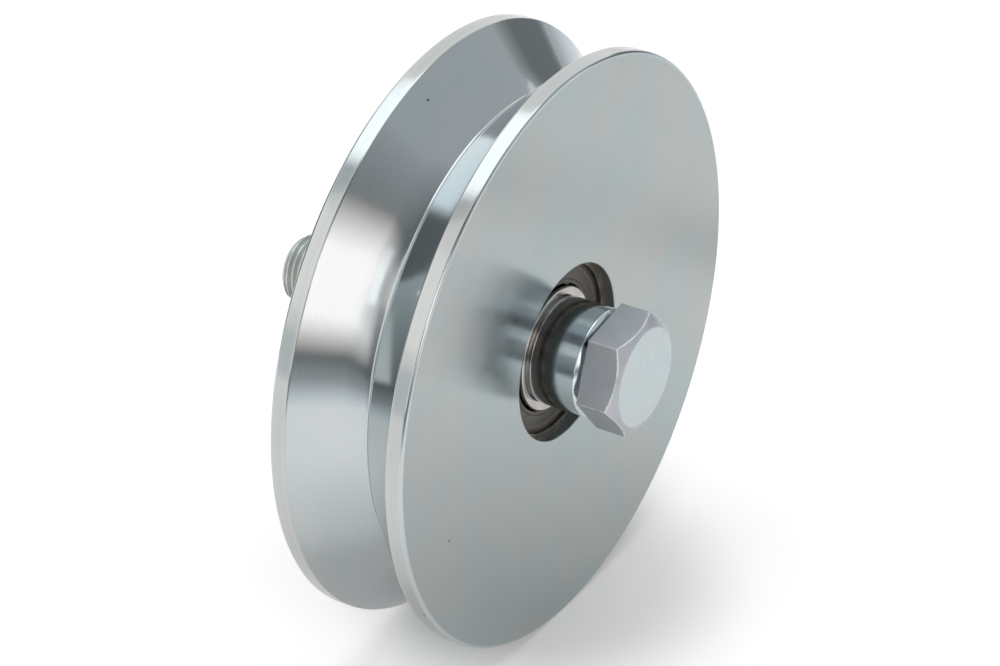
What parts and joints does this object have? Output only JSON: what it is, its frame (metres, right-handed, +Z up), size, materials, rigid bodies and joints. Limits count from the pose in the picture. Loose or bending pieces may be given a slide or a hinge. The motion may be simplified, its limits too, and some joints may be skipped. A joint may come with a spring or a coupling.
{
  "type": "v-groove gate wheel",
  "caption": "Turned steel wheel with a V groove around its rim, running on sealed ball bearings between shouldered bushes on a hexagon-head axle bolt with a nut.",
  "frame": {"origin": "centre of the wheel, on the axle's axis in the middle plane of the V groove", "axes": "+Y along the axle from the bolt's head to its threaded end, +Z up, +X along the rail"},
  "size_m": [0.14, 0.093, 0.14],
  "materials": {
    "wheel_zinc": "bright blue-white zinc plating over fine turning",
    "bush_zinc": "glossy blue-white zinc plating",
    "bolt_zinc": "satin zinc plating with bright worn edges",
    "bearing_steel": "ground bearing steel with a film of oil",
    "ball_steel": "polished",
    "cage_steel": "pressed sheet steel",
    "spring_steel": "oiled black spring steel",
    "seal_rubber": "dark brown-black moulded rubber"
  },
  "bodies": {
    "axle": {"axle_bolt": "bolt_zinc", "axle_nut": "bolt_zinc", "front_bush": "bush_zinc", "rear_bush": "bush_zinc", "front_inner_ring": "bearing_steel", "rear_inner_ring": "bearing_steel"},
    "wheel": {"wheel": "wheel_zinc", "circlip": "spring_steel", "front_outer_ring": "bearing_steel", "rear_outer_ring": "bearing_steel", "front_outer_seal": "seal_rubber", "front_inner_seal": "seal_rubber", "rear_outer_seal": "seal_rubber", "rear_inner_seal": "seal_rubber"},
    "front_cage": {"front_balls": "ball_steel", "front_cage_outer": "cage_steel", "front_cage_inner": "cage_steel", "front_cage_rivets": "cage_steel"},
    "rear_cage": {"rear_balls": "ball_steel", "rear_cage_outer": "cage_steel", "rear_cage_inner": "cage_steel", "rear_cage_rivets": "cage_steel"}
  },
  "joints": [
    {"name": "wheel_spin", "type": "hinge", "parent": "axle", "child": "wheel", "pos_m": [0, 0, 0], "axis": [0, 1, 0], "continuous": true},
    {"name": "front_cage_spin", "type": "hinge", "parent": "axle", "child": "front_cage", "pos_m": [0, -0.007, 0], "axis": [0, 1, 0], "continuous": true},
    {"name": "rear_cage_spin", "type": "hinge", "parent": "axle", "child": "rear_cage", "pos_m": [0, 0.007, 0], "axis": [0, 1, 0], "continuous": true}
  ],
  "couplings": [
    {"joint": "front_cage_spin", "follows": "wheel_spin", "ratio": 0.61848},
    {"joint": "rear_cage_spin", "follows": "wheel_spin", "ratio": 0.61848}
  ]
}
